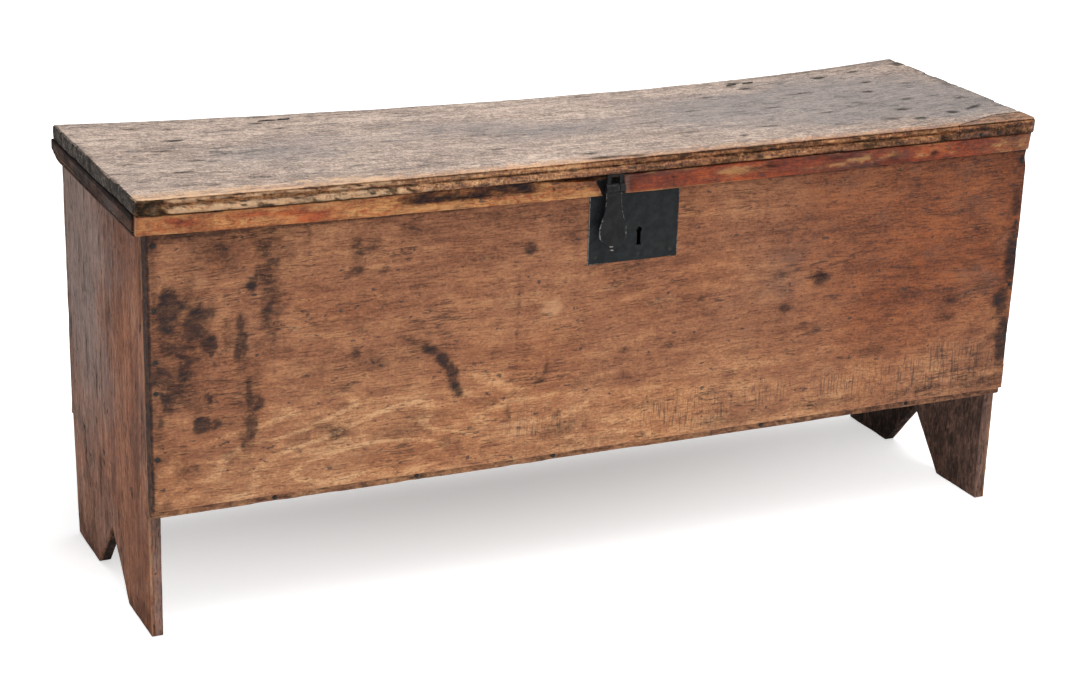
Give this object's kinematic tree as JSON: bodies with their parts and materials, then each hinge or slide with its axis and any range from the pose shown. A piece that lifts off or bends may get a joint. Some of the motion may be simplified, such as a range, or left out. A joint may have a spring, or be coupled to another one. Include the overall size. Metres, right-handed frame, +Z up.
{
  "type": "blanket chest",
  "caption": "Long low boarded chest on V-cut plank feet, with a bowed hinged lid, a front lip, an iron lock plate and a swinging iron hasp.",
  "frame": {"origin": "middle of the whole chest's footprint, on the floor", "axes": "+X towards the chest's right end as seen from the front, +Y towards its back, +Z up"},
  "size_m": [1.117, 0.3652, 0.5129],
  "materials": {
    "case_wood": "worn waxed oak, warm brown with dark stains",
    "end_wood": "dry, greyed oak with upright grain",
    "inner_wood": "bare dark brown oak",
    "lid_wood": "rubbed greyish tan oak, paler on its worn arrises",
    "trim_wood": "reddish brown waxed oak",
    "nail_iron": "dark wrought iron, dull",
    "hinge_iron": "dark wrought iron with brown rust",
    "lock_iron": "blue-black wrought iron, rubbed",
    "hasp_iron": "blue-black wrought iron, rubbed bright on its edges"
  },
  "bodies": {
    "case": {"left_end_board": "end_wood", "right_end_board": "end_wood", "front_board": "case_wood", "back_board": "inner_wood", "bottom_board": "inner_wood", "front_nails": "nail_iron", "back_nails": "nail_iron", "bottom_nails": "nail_iron", "hinge_eye_left": "hinge_iron", "hinge_eye_right": "hinge_iron", "lock_plate": "lock_iron", "lock_plate_nails": "nail_iron", "lock_case": "lock_iron", "bolt_guides": "lock_iron", "bolt_spring": "lock_iron", "key_post": "lock_iron"},
    "lid": {"lid_board": "lid_wood", "lid_corner_patch": "lid_wood", "lid_cleat": "trim_wood", "lid_lip_left": "trim_wood", "lid_lip_right": "trim_wood", "cleat_nails": "nail_iron", "lip_nails": "nail_iron", "patch_nails": "nail_iron", "hinge_loop_left": "hinge_iron", "hinge_loop_right": "hinge_iron", "hasp_strap": "hasp_iron", "strap_nails": "nail_iron", "hasp_pin": "hasp_iron"},
    "hasp": {"hasp_leaf": "hasp_iron", "hasp_staple": "hasp_iron"},
    "bolt": {"lock_bolt": "lock_iron"}
  },
  "joints": [
    {"name": "lid_hinge", "type": "hinge", "parent": "case", "child": "lid", "pos_m": [0.0065, 0.16323, 0.47], "axis": [-1, 0, 0], "range_deg": [0, 100]},
    {"name": "hasp_hinge", "type": "hinge", "parent": "lid", "child": "hasp", "pos_m": [-0.009, -0.17478, 0.4755], "axis": [-1, 0, 0], "range_deg": [-11.5, 110]},
    {"name": "bolt_slide", "type": "slide", "parent": "case", "child": "bolt", "axis": [-1, 0, 0], "range_m": [0, 0.014]}
  ]
}
